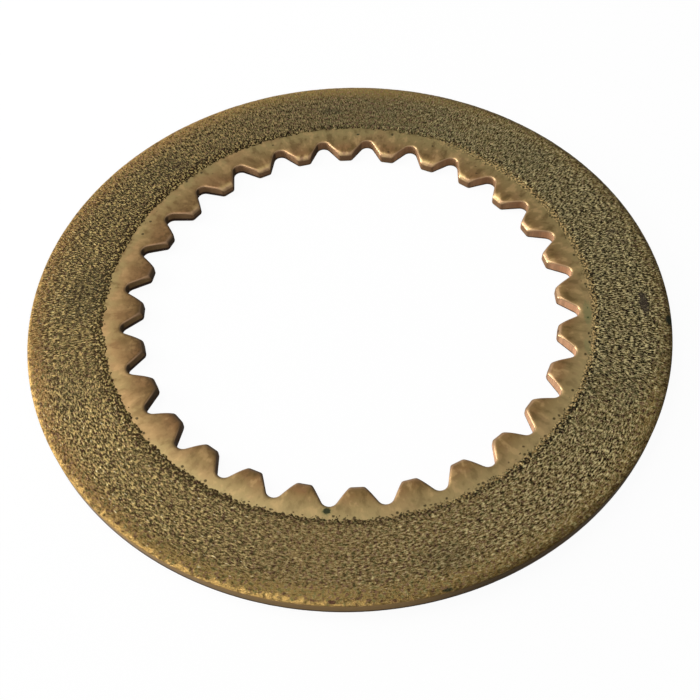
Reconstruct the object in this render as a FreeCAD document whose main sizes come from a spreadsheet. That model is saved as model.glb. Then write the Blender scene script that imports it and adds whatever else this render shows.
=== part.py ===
import FreeCAD, Part
import math
import os
import Sketcher

# Clutch disc: a punched steel core plate with teeth round its hole, and a thin sintered
# bronze ring on each side. The disc lies flat: Z is its axis, the origin is the middle of
# the plate, and one gap between two teeth is centred on +X. All sizes are in millimetres.

SIZES = [
    ("tip_diameter", 81.0, "circle through the tooth tips"),
    ("tooth_depth", 4.0, "from the tips out to the bottoms of the gaps"),
    ("bare_band", 3.2, "plate left bare from the gaps out to the hole of the rings"),
    ("facing_width", 14.3, "bronze ring from its hole out to the rim"),
    ("core_thickness", 2.4, "steel plate between the rings"),
    ("facing_thickness", 0.3, "sintered bronze on each side"),
    ("facing_hole_shift_x", 0.18, "hole of the upper ring off the axis, towards -X"),
    ("facing_hole_shift_y", 0.68, "hole of the upper ring off the axis, towards +Y"),
    ("facing_inner_bevel", 0.2, "broken edge round the hole of a ring"),
    ("rim_bevel_width", 0.8, "worn-down outer edge of a ring, along the face"),
    ("rim_bevel_height", 0.2, "worn-down outer edge of a ring, down the rim"),
    ("tooth_count", 28, "teeth of the internal spline"),
    ("root_round", 1.5, "full round at the bottom of a gap"),
    ("flank_angle", 30.0, "one flank against the middle line of its gap, in degrees"),
    ("tip_round", 0.7, "corners of a tooth, seen along the axis"),
    ("rolled_edge", 0.45, "edge pulled down by the punch, along the whole toothed outline"),
    ("tip_roll_width", 1.5, "deeper pull-down at the tooth tips, outwards from the tips"),
    ("tip_roll_drop", 0.85, "deeper pull-down at the tooth tips, down the tip"),
]

# diameters that follow from the sizes above, from the hole out to the rim
DERIVED = [
    ("root_diameter", "=tip_diameter + 2 * tooth_depth", "circle through the gap bottoms"),
    ("facing_inner_diameter", "=root_diameter + 2 * bare_band", "hole of each bronze ring"),
    ("outer_diameter", "=facing_inner_diameter + 2 * facing_width", "rim of plate and rings"),
]

Z_AXIS = FreeCAD.Vector(0, 0, 1)


def fill_sheet(doc):
    """Write the sizes into the sheet, one to a row, each cell with its alias."""
    sheet = doc.addObject("Spreadsheet::Sheet", "Sizes")
    for row, (alias, value, meaning) in enumerate(SIZES + DERIVED, start=1):
        sheet.set(f"A{row}", alias)
        sheet.set(f"B{row}", str(value))
        sheet.set(f"C{row}", meaning)
        sheet.setAlias(f"B{row}", alias)
    doc.recompute()
    return sheet


def origin_feature(body, role):
    """Give the body's own origin plane or axis with this role."""
    return next(item for item in body.Origin.OriginFeatures if item.Role == role)


def new_sketch(body, name, plane, lift=None):
    """Lay an empty sketch on one of the body's origin planes, lifted off it by an expression."""
    sketch = body.newObject("Sketcher::SketchObject", name)
    sketch.AttachmentSupport = [(origin_feature(body, plane), "")]
    sketch.MapMode = "FlatFace"
    if lift:
        sketch.setExpression("AttachmentOffset.Base.z", lift)
    return sketch


def dimension(sketch, name, kind, where, value, expression):
    """Add one dimension to a sketch and bind it to the sheet."""
    index = sketch.addConstraint(Sketcher.Constraint(kind, *where, value))
    sketch.renameConstraint(index, name)
    sketch.setExpression(f"Constraints.{name}", expression)


def circle(sketch, name, diameter, alias):
    """Draw a circle about the sketch's origin; the place of its centre is fixed by the caller."""
    index = sketch.addGeometry(Part.Circle(FreeCAD.Vector(), Z_AXIS, diameter / 2), False)
    dimension(sketch, name, "Diameter", (index,), diameter, f"Sizes.{alias}")
    return index


def pad(body, name, sketch, length, symmetric=False, downwards=False):
    """Give a sketch its thickness."""
    feature = body.newObject("PartDesign::Pad", name)
    feature.Profile = sketch
    feature.SideType = "Symmetric" if symmetric else "One side"
    feature.Reversed = downwards
    feature.setExpression("Length", length)
    sketch.Visibility = False
    return feature


def edge_names(shape, wanted):
    """Name the edges of a shape that the test picks."""
    return [f"Edge{number}" for number, edge in enumerate(shape.Edges, start=1) if wanted(edge)]


def distance_from_axis(edge):
    """Distance from the Z axis to the point halfway along an edge."""
    middle = edge.valueAt((edge.FirstParameter + edge.LastParameter) / 2)
    return math.hypot(middle.x, middle.y)


def draw_gap(sketch, sheet):
    """Draw the gap between two teeth: a full round at its bottom and two straight flanks."""
    round_radius = sheet.root_round
    flank = math.radians(sheet.flank_angle)
    centre = FreeCAD.Vector(sheet.root_diameter / 2 - round_radius, 0, 0)
    quarter = math.pi / 2 - flank
    foot_x = centre.x + round_radius * math.cos(quarter)
    foot_y = round_radius * math.sin(quarter)
    # the cut runs a quarter of the tooth's depth past the tips, into the open hole
    mouth_x = sheet.tip_diameter / 2 - sheet.tooth_depth / 4
    mouth_y = foot_y + (foot_x - mouth_x) * math.tan(flank)
    foot = FreeCAD.Vector(foot_x, foot_y, 0)
    mouth = FreeCAD.Vector(mouth_x, mouth_y, 0)
    mirrored_foot = FreeCAD.Vector(foot_x, -foot_y, 0)
    mirrored_mouth = FreeCAD.Vector(mouth_x, -mouth_y, 0)

    bottom = sketch.addGeometry(
        Part.ArcOfCircle(Part.Circle(centre, Z_AXIS, round_radius), -quarter, quarter), False)
    upper = sketch.addGeometry(Part.LineSegment(foot, mouth), False)
    closing = sketch.addGeometry(Part.LineSegment(mouth, mirrored_mouth), False)
    lower = sketch.addGeometry(Part.LineSegment(mirrored_mouth, mirrored_foot), False)
    for rule in (
        Sketcher.Constraint("Tangent", bottom, 2, upper, 1),
        Sketcher.Constraint("Tangent", lower, 2, bottom, 1),
        Sketcher.Constraint("Coincident", upper, 2, closing, 1),
        Sketcher.Constraint("Coincident", closing, 2, lower, 1),
        Sketcher.Constraint("PointOnObject", bottom, 3, -1),
        Sketcher.Constraint("Symmetric", upper, 2, lower, 1, -1),
    ):
        sketch.addConstraint(rule)
    dimension(sketch, "round_radius", "Radius", (bottom,), round_radius, "Sizes.root_round")
    dimension(sketch, "round_centre", "DistanceX", (-1, 1, bottom, 3), centre.x,
              "Sizes.root_diameter / 2 - Sizes.root_round")
    dimension(sketch, "mouth", "DistanceX", (-1, 1, upper, 2), mouth_x,
              "Sizes.tip_diameter / 2 - Sizes.tooth_depth / 4")
    dimension(sketch, "flank", "Angle", (upper,), math.pi - flank,
              "(180 - Sizes.flank_angle) * 1 deg")


def draw_tip_roll(sketch, sheet):
    """Draw what the punch's pull takes off the upper edge of the tooth tips, as a triangle."""
    tip = sheet.tip_diameter / 2
    top = sheet.core_thickness / 2
    corner = FreeCAD.Vector(tip, top, 0)
    on_face = FreeCAD.Vector(tip + sheet.tip_roll_width, top, 0)
    on_tip = FreeCAD.Vector(tip, top - sheet.tip_roll_drop, 0)
    along = sketch.addGeometry(Part.LineSegment(corner, on_face), False)
    slope = sketch.addGeometry(Part.LineSegment(on_face, on_tip), False)
    down = sketch.addGeometry(Part.LineSegment(on_tip, corner), False)
    for rule in (
        Sketcher.Constraint("Coincident", along, 2, slope, 1),
        Sketcher.Constraint("Coincident", slope, 2, down, 1),
        Sketcher.Constraint("Coincident", down, 2, along, 1),
        Sketcher.Constraint("Horizontal", along),
        Sketcher.Constraint("Vertical", down),
    ):
        sketch.addConstraint(rule)
    dimension(sketch, "tip", "DistanceX", (-1, 1, along, 1), tip, "Sizes.tip_diameter / 2")
    dimension(sketch, "top", "DistanceY", (-1, 1, along, 1), top, "Sizes.core_thickness / 2")
    dimension(sketch, "width", "DistanceX", (along, 1, along, 2), sheet.tip_roll_width,
              "Sizes.tip_roll_width")
    dimension(sketch, "drop", "DistanceY", (down, 1, down, 2), sheet.tip_roll_drop,
              "Sizes.tip_roll_drop")


def turned_groove(body, name, sketch):
    """Turn a cut with the sketch's outline once round the Z axis."""
    feature = body.newObject("PartDesign::Groove", name)
    feature.Profile = sketch
    feature.ReferenceAxis = (origin_feature(body, "Z_Axis"), [""])
    feature.Angle = 360
    sketch.Visibility = False
    body.Tip = feature
    return feature


def make_core_plate(doc, sheet):
    """Steel plate: a blanked ring, the gaps of the spline, and the edge the punch pulls down."""
    body = doc.addObject("PartDesign::Body", "core_plate")
    blank_sketch = new_sketch(body, "BlankOutline", "XY_Plane")
    for name, diameter, alias in (
        ("rim", sheet.outer_diameter, "outer_diameter"),
        ("tips", sheet.tip_diameter, "tip_diameter"),
    ):
        index = circle(blank_sketch, name, diameter, alias)
        blank_sketch.addConstraint(Sketcher.Constraint("Coincident", index, 3, -1, 1))
    pad(body, "Blank", blank_sketch, "Sizes.core_thickness", symmetric=True)

    gap_sketch = new_sketch(body, "GapOutline", "XY_Plane")
    draw_gap(gap_sketch, sheet)
    gap = body.newObject("PartDesign::Pocket", "Gap")
    gap.Profile = gap_sketch
    gap.SideType = "Symmetric"
    gap.setExpression("Length", "Sizes.core_thickness * 2")
    gap_sketch.Visibility = False

    gaps = body.newObject("PartDesign::PolarPattern", "Gaps")
    gaps.Originals = [gap]
    gaps.Axis = (origin_feature(body, "Z_Axis"), [""])
    gaps.Angle = 360
    gaps.setExpression("Occurrences", "Sizes.tooth_count")
    body.Tip = gaps
    doc.recompute()

    # corners where the flanks meet the tips: upright edges on the tip circle
    tip_radius = sheet.tip_diameter / 2
    corners = body.newObject("PartDesign::Fillet", "ToothCorners")
    corners.Base = (gaps, edge_names(gaps.Shape, lambda edge:
                    edge.BoundBox.ZLength > sheet.core_thickness / 2
                    and abs(distance_from_axis(edge) - tip_radius) < 1e-3))
    corners.setExpression("Radius", "Sizes.tip_round")
    doc.recompute()

    # the whole toothed outline on the upper face, which is everything inside the rim there
    top = sheet.core_thickness / 2
    rolled = body.newObject("PartDesign::Chamfer", "RolledEdge")
    rolled.Base = (corners, edge_names(corners.Shape, lambda edge:
                   edge.BoundBox.ZMin > top - 1e-3
                   and distance_from_axis(edge) < (sheet.root_diameter + sheet.outer_diameter) / 4))
    rolled.setExpression("Size", "Sizes.rolled_edge")
    body.Tip = rolled
    doc.recompute()

    tip_roll_sketch = new_sketch(body, "TipRollOutline", "XZ_Plane")
    draw_tip_roll(tip_roll_sketch, sheet)
    turned_groove(body, "TipRoll", tip_roll_sketch)
    return body


def draw_rim_bevel(sketch, sheet, side):
    """Draw the corner that wear has taken off a ring's outer edge, as a triangle."""
    rim = sheet.outer_diameter / 2
    face = sheet.core_thickness / 2 + sheet.facing_thickness
    on_face = FreeCAD.Vector(rim - sheet.rim_bevel_width, side * face, 0)
    corner = FreeCAD.Vector(rim, side * face, 0)
    on_rim = FreeCAD.Vector(rim, side * (face - sheet.rim_bevel_height), 0)
    along = sketch.addGeometry(Part.LineSegment(on_face, corner), False)
    down = sketch.addGeometry(Part.LineSegment(corner, on_rim), False)
    slope = sketch.addGeometry(Part.LineSegment(on_rim, on_face), False)
    for rule in (
        Sketcher.Constraint("Coincident", along, 2, down, 1),
        Sketcher.Constraint("Coincident", down, 2, slope, 1),
        Sketcher.Constraint("Coincident", slope, 2, along, 1),
        Sketcher.Constraint("Horizontal", along),
        Sketcher.Constraint("Vertical", down),
    ):
        sketch.addConstraint(rule)
    dimension(sketch, "rim", "DistanceX", (-1, 1, along, 2), rim, "Sizes.outer_diameter / 2")
    dimension(sketch, "width", "DistanceX", (along, 1, along, 2), sheet.rim_bevel_width,
              "Sizes.rim_bevel_width")
    # a vertical dimension runs upwards, so its two ends change places below the plate
    face_ends = (-1, 1, along, 2) if side > 0 else (along, 2, -1, 1)
    height_ends = (down, 2, down, 1) if side > 0 else (down, 1, down, 2)
    dimension(sketch, "face", "DistanceY", face_ends, face,
              "Sizes.core_thickness / 2 + Sizes.facing_thickness")
    dimension(sketch, "height", "DistanceY", height_ends, sheet.rim_bevel_height,
              "Sizes.rim_bevel_height")


def make_facing(doc, sheet, label, side, shifted_hole):
    """Bronze ring on the upper (side 1) or lower (side -1) face of the core plate."""
    body = doc.addObject("PartDesign::Body", label)
    seat = "Sizes.core_thickness / 2" if side > 0 else "-Sizes.core_thickness / 2"
    outline = new_sketch(body, "RingOutline", "XY_Plane", lift=seat)
    rim = circle(outline, "rim", sheet.outer_diameter, "outer_diameter")
    outline.addConstraint(Sketcher.Constraint("Coincident", rim, 3, -1, 1))
    hole = circle(outline, "hole", sheet.facing_inner_diameter, "facing_inner_diameter")
    if shifted_hole:
        dimension(outline, "shift_x", "DistanceX", (hole, 3, -1, 1), sheet.facing_hole_shift_x,
                  "Sizes.facing_hole_shift_x")
        dimension(outline, "shift_y", "DistanceY", (-1, 1, hole, 3), sheet.facing_hole_shift_y,
                  "Sizes.facing_hole_shift_y")
    else:
        outline.addConstraint(Sketcher.Constraint("Coincident", hole, 3, -1, 1))
    pad(body, "Ring", outline, "Sizes.facing_thickness", downwards=side < 0)

    worn = new_sketch(body, "RimBevelOutline", "XZ_Plane")
    draw_rim_bevel(worn, sheet, side)
    bevel = turned_groove(body, "RimBevel", worn)
    doc.recompute()

    # broken edge round the hole: the inner circle on the face that points away from the plate
    face = side * (sheet.core_thickness / 2 + sheet.facing_thickness)
    inner = body.newObject("PartDesign::Chamfer", "HoleBevel")
    inner.Base = (bevel, edge_names(bevel.Shape, lambda edge:
                  isinstance(edge.Curve, Part.Circle)
                  and abs(edge.Curve.Center.z - face) < 1e-3
                  and abs(edge.Curve.Radius - sheet.facing_inner_diameter / 2) < 1e-3))
    inner.setExpression("Size", "Sizes.facing_inner_bevel")
    return body


def check(doc, bodies):
    """Stop if a feature failed, a solid is unsound, or a cut or a broken edge took nothing off."""
    for item in doc.Objects:
        if {"Invalid", "Error"} & set(item.State):
            raise RuntimeError(f"{item.Label} did not build: {item.State}")
    for body in bodies:
        shape = body.Shape
        if shape.isNull() or not shape.isValid() or len(shape.Solids) != 1:
            raise RuntimeError(f"{body.Label} is not one sound solid")
        steps = [item for item in body.Group if item.isDerivedFrom("PartDesign::Feature")]
        for before, after in zip(steps, steps[1:]):
            if after.Shape.Volume >= before.Shape.Volume:
                raise RuntimeError(f"{body.Label}: {after.Label} takes nothing off")


def main():
    doc = FreeCAD.newDocument("clutch_disc")
    sheet = fill_sheet(doc)
    bodies = [
        make_core_plate(doc, sheet),
        make_facing(doc, sheet, "upper_facing", side=1, shifted_hole=True),
        make_facing(doc, sheet, "lower_facing", side=-1, shifted_hole=False),
    ]
    doc.recompute()
    check(doc, bodies)
    os.makedirs("parts", exist_ok=True)
    for body in bodies:
        body.Shape.exportStep(f"parts/{body.Label}.step")
        box = body.Shape.BoundBox
        print(f"{body.Label}: {body.Shape.Volume:.1f} mm3, {box.XLength:.2f} x {box.YLength:.2f}"
              f" x {box.ZLength:.2f} mm, {len(body.Shape.Faces)} faces")


main()
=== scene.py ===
# %% [markdown]
# # A clutch disc, dressed
# The object is one flat ring: a punched steel plate with 28 teeth round its hole, and a thin
# ring of sintered bronze bonded on each side. The construction is already there as a fixed
# frame, so this lesson makes only what the eye sees: the rolled edge that a punch leaves on
# the teeth, the grains and pores of the bronze, the worn rim, the tarnish and the stains.

from math import cos, hypot, pi, radians, sin

import bmesh
import bpy
from mathutils import Matrix, Vector


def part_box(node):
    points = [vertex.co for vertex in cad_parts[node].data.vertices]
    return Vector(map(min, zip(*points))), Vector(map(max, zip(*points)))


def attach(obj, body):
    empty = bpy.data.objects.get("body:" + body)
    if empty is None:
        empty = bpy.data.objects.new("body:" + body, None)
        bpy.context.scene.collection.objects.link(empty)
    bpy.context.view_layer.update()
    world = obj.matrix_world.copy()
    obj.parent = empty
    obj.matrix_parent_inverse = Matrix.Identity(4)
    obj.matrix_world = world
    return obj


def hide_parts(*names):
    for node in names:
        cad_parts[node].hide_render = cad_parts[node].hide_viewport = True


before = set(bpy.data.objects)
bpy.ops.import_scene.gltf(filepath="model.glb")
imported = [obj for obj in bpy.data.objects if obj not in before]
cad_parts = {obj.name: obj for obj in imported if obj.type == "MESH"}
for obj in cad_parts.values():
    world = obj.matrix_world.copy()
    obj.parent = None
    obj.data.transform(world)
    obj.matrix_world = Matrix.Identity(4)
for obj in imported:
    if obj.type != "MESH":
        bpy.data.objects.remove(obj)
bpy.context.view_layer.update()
scene = bpy.context.scene
MM = 0.001
print("nodes in the frame:", sorted(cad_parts))

# %% [markdown]
# ## Sizes, read off the frame
# Nothing may be moved or resized here, so the sizes that the new surfaces have to meet are
# measured on the nodes that they stand for: the rim, the heights of the faces, the circle of
# the tooth tips and the circle of the gap bottoms. A few sizes that can't be read off a mesh,
# such as the slope of a tooth's flank, are given.

# %% Sizes of the plate and the rings
plate_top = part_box("core_plate")[1].z
RIM_RADIUS = min(abs(reach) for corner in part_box("core_plate") for reach in corner[:2])
RING_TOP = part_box("upper_facing")[1].z
RING_THICKNESS = RING_TOP - plate_top


def radii(node, keep):
    """Distances from the axis of a node's corner points that the test keeps."""
    corners = (vertex.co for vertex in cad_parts[node].data.vertices)
    return [hypot(corner.x, corner.y) for corner in corners if keep(corner)]


underside = radii("core_plate", lambda co: co.z < -0.99 * plate_top)
toothed = [radius for radius in underside if radius < 0.75 * RIM_RADIUS]
TIP_RADIUS = min(toothed)
GAP_RADIUS = max(toothed)
RING_HOLE_RADIUS = min(radii("lower_facing", lambda co: co.z > -1.01 * plate_top))
TOOTH_COUNT = 28
FLANK_ANGLE = radians(30)
ROOT_ROUND = 1.5 * MM
TIP_ROUND = 0.7 * MM
print(f"tips {TIP_RADIUS / MM:.2f}, gap bottoms {GAP_RADIUS / MM:.2f}, ring's hole "
      f"{RING_HOLE_RADIUS / MM:.2f}, rim {RIM_RADIUS / MM:.2f}, top {RING_TOP / MM:.2f} mm")

# %% [markdown]
# ## The camera
# The photograph was taken from close by, so the far side of the disc looks much smaller than
# the near side. A long lens from further off would flatten that. The place, the turn and the
# lens below were found by fitting the rim and the toothed hole to circles. The lens doesn't
# look at the middle of the picture, so the sensor is shifted a little.

# %% Camera
PICTURE = 700
SENSOR_WIDTH = 36.0
LENS_IN_PIXELS = 966.7
AXIS_PIXEL = (377.1, 350.5)
CAMERA_REACH = 190.05 * MM
CAMERA_STEP = (5.19 * MM, -9.43 * MM)
CAMERA_ABOVE = radians(55.147)
CAMERA_TURN = radians(4.294)
CAMERA_ROLL = radians(-0.448)

level_right = Vector((cos(CAMERA_TURN), sin(CAMERA_TURN), 0))
towards_lens = Vector((sin(CAMERA_TURN) * cos(CAMERA_ABOVE),
                       -cos(CAMERA_TURN) * cos(CAMERA_ABOVE), sin(CAMERA_ABOVE)))
level_up = towards_lens.cross(level_right)
right = cos(CAMERA_ROLL) * level_right + sin(CAMERA_ROLL) * level_up
up = cos(CAMERA_ROLL) * level_up - sin(CAMERA_ROLL) * level_right
eye = CAMERA_STEP[0] * right + CAMERA_STEP[1] * up + CAMERA_REACH * towards_lens

camera = bpy.data.objects.new("camera", bpy.data.cameras.new("camera"))
scene.collection.objects.link(camera)
camera.matrix_world = Matrix((right, up, towards_lens)).transposed().to_4x4()
camera.matrix_world.translation = eye
camera.data.sensor_width = SENSOR_WIDTH
camera.data.lens = LENS_IN_PIXELS * SENSOR_WIDTH / PICTURE
camera.data.shift_x = 0.5 - AXIS_PIXEL[0] / PICTURE
camera.data.shift_y = AXIS_PIXEL[1] / PICTURE - 0.5
camera.data.clip_start = 10 * MM
scene.camera = camera
print(f"lens {camera.data.lens:.1f} mm, {eye.length / MM:.0f} mm from the disc's centre")

# %% [markdown]
# ## Short words for node trees
# Shapes and finishes below are both node trees. A few helpers keep them readable: one adds a
# node and fills its inputs, from numbers or from other nodes' outputs, and the others add
# sums, fades and places. They find their tree from the outputs that they are given.

# %% Node helpers


def put(socket, value):
    """Give a socket a plain value, or join it to another node's output."""
    if isinstance(value, bpy.types.NodeSocket):
        socket.id_data.links.new(value, socket)
    else:
        socket.default_value = value


def add(tree, kind, inputs=None, **settings):
    """Add a node, set it up, and fill its inputs by name or by number."""
    node = tree.nodes.new(kind)
    for name, value in settings.items():
        setattr(node, name, value)
    for name, value in (inputs or {}).items():
        put(node.inputs[name], value)
    return node


def tree_of(*values):
    """Find the tree that the first output among some values belongs to."""
    return next(value.id_data for value in values if isinstance(value, bpy.types.NodeSocket))


def reckon(operation, *values, clamp=False):
    """Work one sum with a Math node and give its result."""
    node = add(tree_of(*values), "ShaderNodeMath", dict(enumerate(values)), operation=operation)
    node.use_clamp = clamp
    return node.outputs[0]


def plus(value, other):
    """Add two values."""
    return reckon("ADD", value, other)


def less(value, taken, clamp=False):
    """Take one value from another."""
    return reckon("SUBTRACT", value, taken, clamp=clamp)


def times(*values):
    """Multiply any number of values."""
    product = values[0]
    for value in values[1:]:
        product = reckon("MULTIPLY", product, value)
    return product


def scaled(value, factor, start):
    """Multiply a value by a factor and add a start to it."""
    return reckon("MULTIPLY_ADD", value, factor, start)


def fade(value, start, end, low=0.0, high=1.0, smooth=True):
    """Go from low to high while a value goes from start to end, and stay there outside."""
    node = add(tree_of(value), "ShaderNodeMapRange",
               {"Value": value, "From Min": start, "From Max": end, "To Min": low,
                "To Max": high}, interpolation_type="SMOOTHSTEP" if smooth else "LINEAR")
    return node.outputs["Result"]


def split(place):
    """Give the three parts of a place."""
    return add(tree_of(place), "ShaderNodeSeparateXYZ", {0: place}).outputs


def xyz(x=0.0, y=0.0, z=0.0):
    """Put three parts together into a place."""
    return add(tree_of(x, y, z), "ShaderNodeCombineXYZ", {"X": x, "Y": y, "Z": z}).outputs[0]


def polar(radius, angle):
    """Flat place at a distance from the axis, in the direction of an angle."""
    return xyz(times(radius, reckon("COSINE", angle)), times(radius, reckon("SINE", angle)))


def vector(operation, *values, **named):
    """Work one sum with vectors and give its result."""
    inputs = {**dict(enumerate(values)), **named}
    return add(tree_of(*values), "ShaderNodeVectorMath", inputs, operation=operation).outputs[0]


def length_of(place):
    """Distance of a place from the origin."""
    node = add(tree_of(place), "ShaderNodeVectorMath", {0: place}, operation="LENGTH")
    return node.outputs["Value"]


def linear(red, green, blue):
    """Turn a colour as a picture stores it, 0 to 255, into the light that a shader counts."""
    shares = [channel / 255 for channel in (red, green, blue)]
    return tuple(x / 12.92 if x <= 0.04045 else ((x + 0.055) / 1.055) ** 2.4 for x in shares) + (1.0,)


print("a mid brown in light:", [round(x, 3) for x in linear(128, 108, 73)])

# %% [markdown]
# ## Floor and light
# The disc lies on a white table. The table has a little light of its own for the camera's
# rays, so that it stays white while the shadow of the disc still shows on it. For every other
# ray it is grey: in the photograph the walls of the teeth that face away from the lamps are
# nearly black, so the real table can't have thrown much light back. A large soft lamp stands
# above, behind and to the left, where the near left of the disc mirrors it into the lens. A
# low one at the left reaches the walls of the teeth on the right and the rolled edges. The
# world fills the rest. What the metal mirrors of it is bright overhead and on the left, and
# dim on the right and low down.

# %% Floor
FLOOR_SIZE = 1.5
FLOOR_GLOW = 0.95
FLOOR_GREY = 0.4


def table_paint():
    """Matt white that keeps a shadow for the camera, and grey for every other ray."""
    paint = bpy.data.materials.new("table_white")
    paint.use_nodes = True
    tree = paint.node_tree
    tree.nodes.clear()
    seen = add(tree, "ShaderNodeLightPath").outputs["Is Camera Ray"]
    level = scaled(seen, 0.9 - FLOOR_GREY, FLOOR_GREY)
    matt = add(tree, "ShaderNodeBsdfDiffuse", {"Color": xyz(level, level, level)})
    glow = add(tree, "ShaderNodeEmission", {"Color": (1, 1, 1, 1), "Strength": 1.0})
    share = times(seen, FLOOR_GLOW)
    mixed = add(tree, "ShaderNodeMixShader", {0: share, 1: matt.outputs[0], 2: glow.outputs[0]})
    add(tree, "ShaderNodeOutputMaterial", {"Surface": mixed.outputs[0]})
    return paint


half = FLOOR_SIZE / 2
floor_mesh = bpy.data.meshes.new("table")
floor_mesh.from_pydata([(-half, -half, -RING_TOP), (half, -half, -RING_TOP),
                        (half, half, -RING_TOP), (-half, half, -RING_TOP)], [], [(0, 1, 2, 3)])
floor = bpy.data.objects.new("table", floor_mesh)
floor_mesh.materials.append(table_paint())
scene.collection.objects.link(floor)
print(f"table at {-RING_TOP / MM:.2f} mm")

# %% Light
WORLD_LEVEL = 0.4
# name: direction seen from the disc, distance, size of the square, power in watts
LAMPS = {"key_lamp": ((-0.50, 0.20, 0.84), 0.55, 0.30, 1.4),
         "side_lamp": ((-0.95, 0.12, 0.28), 0.50, 0.25, 2.4)}

world = bpy.data.worlds.new("room")
world.use_nodes = True
scene.world = world
tree = world.node_tree
rays = add(tree, "ShaderNodeLightPath").outputs
looks = split(add(tree, "ShaderNodeTexCoord").outputs["Generated"])
bright_side = scaled(looks["X"], -0.6, looks["Z"])
mirrored = times(rays["Is Glossy Ray"], fade(bright_side, 0.2, 0.7))
white = reckon("MAXIMUM", rays["Is Camera Ray"], mirrored)
level = scaled(white, 1 - WORLD_LEVEL, WORLD_LEVEL)
put(tree.nodes["Background"].inputs["Color"], (1, 1, 1, 1))
put(tree.nodes["Background"].inputs["Strength"], level)

for name, (direction, distance, size, power) in LAMPS.items():
    shine = bpy.data.lights.new(name, "AREA")
    shine.shape = "SQUARE"
    shine.size = size
    shine.energy = power
    lamp = bpy.data.objects.new(name, shine)
    lamp.matrix_world = Vector(direction).to_track_quat("Z", "Y").to_matrix().to_4x4()
    lamp.matrix_world.translation = distance * Vector(direction).normalized()
    scene.collection.objects.link(lamp)
scene.view_settings.view_transform = "Standard"
print("lamps", list(LAMPS), "world", WORLD_LEVEL)

# %% [markdown]
# ## Growing a piece from a node tree
# Each shape that follows a rule is a Geometry Nodes tree with named inputs. The result is
# kept as a plain mesh on an object at the origin, and the modifier goes.

# %% Geometry helpers


def shape_tree(name, sizes):
    """Start a Geometry Nodes tree with a named input for each size, and one for a finish."""
    tree = bpy.data.node_groups.new(name, "GeometryNodeTree")
    for label, kind in sizes.items():
        tree.interface.new_socket(label, in_out="INPUT", socket_type=f"NodeSocket{kind}")
    tree.interface.new_socket("Finish", in_out="INPUT", socket_type="NodeSocketMaterial")
    tree.interface.new_socket("Shape", in_out="OUTPUT", socket_type="NodeSocketGeometry")
    return tree, add(tree, "NodeGroupInput").outputs


def end_tree(tree, shape, given):
    """Finish a tree: real geometry, its finish, smooth shading, and the way out."""
    real = add(tree, "GeometryNodeRealizeInstances", {"Geometry": shape})
    smooth = add(tree, "GeometryNodeSetShadeSmooth", {"Geometry": real.outputs[0]})
    painted = add(tree, "GeometryNodeSetMaterial",
                  {"Geometry": smooth.outputs[0], "Material": given["Finish"]})
    add(tree, "NodeGroupOutput", {"Shape": painted.outputs[0]})


def face_outwards(mesh):
    """Turn every face of a closed mesh to look out of it."""
    work = bmesh.new()
    work.from_mesh(mesh)
    bmesh.ops.recalc_face_normals(work, faces=work.faces)
    work.to_mesh(mesh)
    work.free()


def grow(name, tree, values):
    """Run a tree once and keep what it makes as a plain mesh in an object at the origin."""
    piece = bpy.data.objects.new(name, bpy.data.meshes.new(name))
    scene.collection.objects.link(piece)
    modifier = piece.modifiers.new("growth", "NODES")
    modifier.node_group = tree
    for item in tree.interface.items_tree:
        if item.in_out == "INPUT":
            modifier[item.identifier] = values[item.name]
    evaluated = piece.evaluated_get(bpy.context.evaluated_depsgraph_get())
    mesh = bpy.data.meshes.new_from_object(evaluated)
    piece.modifiers.clear()
    piece.data = mesh
    face_outwards(mesh)
    triangles = sum(len(face.vertices) - 2 for face in mesh.polygons)
    print(f"{name}: {len(mesh.vertices)} points, {triangles} triangles")
    return piece


def ring_strip(tree, columns, rows, place):
    """Bend a grid into a strip round the ring: place says where the point (u, v) lies."""
    grid = add(tree, "GeometryNodeMeshGrid", {"Size X": 1.0, "Size Y": 1.0, "Vertices X": columns,
                                              "Vertices Y": rows})
    axes = split(add(tree, "GeometryNodeInputPosition").outputs[0])
    round_share, cross_share = plus(axes["X"], 0.5), plus(axes["Y"], 0.5)
    moved = add(tree, "GeometryNodeSetPosition",
                {"Geometry": grid.outputs["Mesh"], "Position": place(round_share, cross_share)})
    return moved.outputs[0]


def add_up(tree, shapes):
    """Put shapes into one."""
    joined = add(tree, "GeometryNodeJoinGeometry")
    for shape in reversed(shapes):
        tree.links.new(shape, joined.inputs[0])
    return joined.outputs[0]


def sewn(tree, strips, gap):
    """Join strips whose edges meet into one closed skin."""
    merged = add(tree, "GeometryNodeMergeByDistance",
                 {"Geometry": add_up(tree, strips), "Distance": gap})
    return merged.outputs[0]


print("helpers ready")

# %% [markdown]
# ## The toothed outline
# Seen from above, the hole's outline is a star of straight lines: a short land at each tooth
# tip, and two flanks that would meet in a point behind each gap. So three corners make one
# pitch, and 28 pitches make the outline. Rounding each corner by its own radius then gives
# the full round at the bottom of a gap and the small round at the corners of a tooth. A
# circle of 84 points, moved by their numbers, is all that it takes.

# %% Outline of the teeth
OUTLINE_SIZES = {"Tip Radius": "Float", "Gap Radius": "Float", "Root Round": "Float",
                 "Tip Round": "Float", "Flank Angle": "Float", "Tooth Count": "Int"}


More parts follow.
